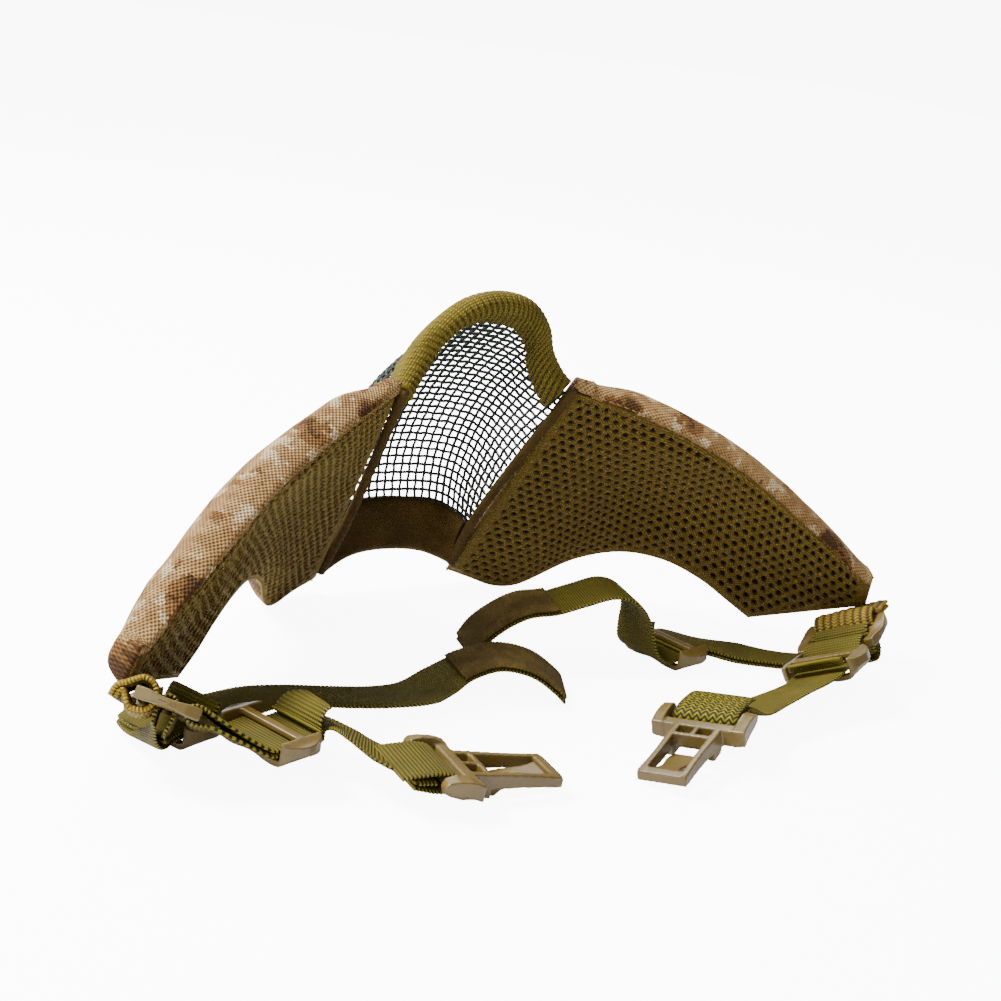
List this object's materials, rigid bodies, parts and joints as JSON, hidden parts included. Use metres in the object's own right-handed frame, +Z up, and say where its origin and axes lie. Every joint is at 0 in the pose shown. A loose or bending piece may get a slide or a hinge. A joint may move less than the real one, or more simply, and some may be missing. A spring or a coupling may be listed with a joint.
{
  "type": "half-face mesh mask",
  "caption": "Foldable half-face mask: woven steel mesh front, padded camouflage cheek wings, nose binding, and per side a rail-clip webbing line and an elastic line.",
  "frame": {"origin": "centre of the base rectangle of the standing mask, on the surface it stands on, straps and their hardware left out", "axes": "+X towards the wearer's right wing end, +Y forwards through the mesh face, +Z up; the mask leans back 20 degrees as it rests on its jaw corners and buckles"},
  "size_m": [0.279, 0.1691, 0.1151],
  "materials": {
    "woven_steel": "powder-coated black woven wire",
    "knit_binding": "padded ribbed knit, olive",
    "chin_knit": "smooth folded fabric, olive brown",
    "camo_fabric": "coarse basket-weave nylon, desert digital camouflage",
    "foam": "soft foam core",
    "spacer_mesh": "3-D spacer air mesh with oval holes, olive brown",
    "ribbed_tape": "ribbed elastic tape, old gold",
    "webbing": "woven nylon webbing, olive",
    "elastic": "woven elastic webbing, fine cross ribs, olive",
    "hook_tape": "hook-and-loop pile, dull brown olive",
    "tan_plastic": "moulded acetal, coyote tan, satin to semi-gloss"
  },
  "bodies": {
    "face": {"steel_mesh_face": "woven_steel", "nose_binding": "knit_binding", "chin_band": "chin_knit"},
    "left_cheek": {"left_front_hem": "camo_fabric", "left_cheek_foam": "foam", "left_spacer_lining": "spacer_mesh", "left_camo_cover": "camo_fabric", "left_end_loop": "ribbed_tape"},
    "left_harness": {"left_end_ring": "tan_plastic", "left_web_loop": "webbing", "left_clip_strap": "webbing", "left_elastic_loop": "elastic", "left_elastic_strap": "elastic", "left_hook_patch": "hook_tape"},
    "left_clip": {"left_rail_clip": "tan_plastic"},
    "left_tongue": {"left_clip_tongue": "tan_plastic"},
    "left_clip_slider": {"left_clip_adjuster": "tan_plastic"},
    "left_elastic_slider": {"left_elastic_adjuster": "tan_plastic"},
    "right_cheek": {"right_front_hem": "camo_fabric", "right_cheek_foam": "foam", "right_spacer_lining": "spacer_mesh", "right_camo_cover": "camo_fabric", "right_end_loop": "ribbed_tape"},
    "right_harness": {"right_end_ring": "tan_plastic", "right_web_loop": "webbing", "right_clip_strap": "webbing", "right_elastic_loop": "elastic", "right_elastic_strap": "elastic", "right_hook_patch": "hook_tape"},
    "right_clip": {"right_rail_clip": "tan_plastic"},
    "right_tongue": {"right_clip_tongue": "tan_plastic"},
    "right_clip_slider": {"right_clip_adjuster": "tan_plastic"},
    "right_elastic_slider": {"right_elastic_adjuster": "tan_plastic"}
  },
  "joints": [
    {"name": "left_cheek_fold", "type": "hinge", "parent": "face", "child": "left_cheek", "pos_m": [-0.02559, 0.05728, 0.00887], "axis": [0.064, 0.5205, -0.8514], "range_deg": [0, 6], "stiffness_Nm_per_rad": 8},
    {"name": "left_ring_swing", "type": "hinge", "parent": "left_cheek", "child": "left_harness", "pos_m": [-0.12891, -0.04105, 0.01915], "axis": [-0.3953, -0.7839, 0.4788], "range_deg": [0, 4]},
    {"name": "left_clip_pivot", "type": "hinge", "parent": "left_harness", "child": "left_clip", "pos_m": [-0.06159, -0.07912, 0.00807], "axis": [-0.1203, -0.9927, 0], "range_deg": [0, 40]},
    {"name": "left_tongue_flex", "type": "hinge", "parent": "left_clip", "child": "left_tongue", "pos_m": [-0.03047, -0.08289, 0.00494], "axis": [-0.1203, -0.9927, 0], "range_deg": [-6, 0], "stiffness_Nm_per_rad": 0.05},
    {"name": "left_clip_slide", "type": "slide", "parent": "left_harness", "child": "left_clip_slider", "axis": [0.957, 0.29, 0], "range_m": [0, 0.002]},
    {"name": "left_elastic_slide", "type": "slide", "parent": "left_harness", "child": "left_elastic_slider", "axis": [0.9359, 0.3522, 0], "range_m": [0, 0.004]},
    {"name": "right_cheek_fold", "type": "hinge", "parent": "face", "child": "right_cheek", "pos_m": [0.02841, 0.05728, 0.00887], "axis": [0.064, -0.5205, 0.8514], "range_deg": [0, 6], "stiffness_Nm_per_rad": 8},
    {"name": "right_ring_swing", "type": "hinge", "parent": "right_cheek", "child": "right_harness", "pos_m": [0.12433, -0.04005, 0.01635], "axis": [-0.3953, 0.7839, -0.4788], "range_deg": [0, 8]},
    {"name": "right_clip_pivot", "type": "hinge", "parent": "right_harness", "child": "right_clip", "pos_m": [0.03341, -0.07762, 0.00987], "axis": [-0.4731, 0.8591, -0.1953], "range_deg": [0, 40]},
    {"name": "right_tongue_flex", "type": "hinge", "parent": "right_clip", "child": "right_tongue", "pos_m": [0.00673, -0.09351, 0.0046], "axis": [-0.4731, 0.8591, -0.1953], "range_deg": [-6, 0], "stiffness_Nm_per_rad": 0.05},
    {"name": "right_clip_slide", "type": "slide", "parent": "right_harness", "child": "right_clip_slider", "axis": [-0.8996, -0.4198, -0.12], "range_m": [0, 0.004]},
    {"name": "right_elastic_slide", "type": "slide", "parent": "right_harness", "child": "right_elastic_slider", "axis": [-0.9778, -0.2095, 0], "range_m": [0, 0.004]}
  ]
}
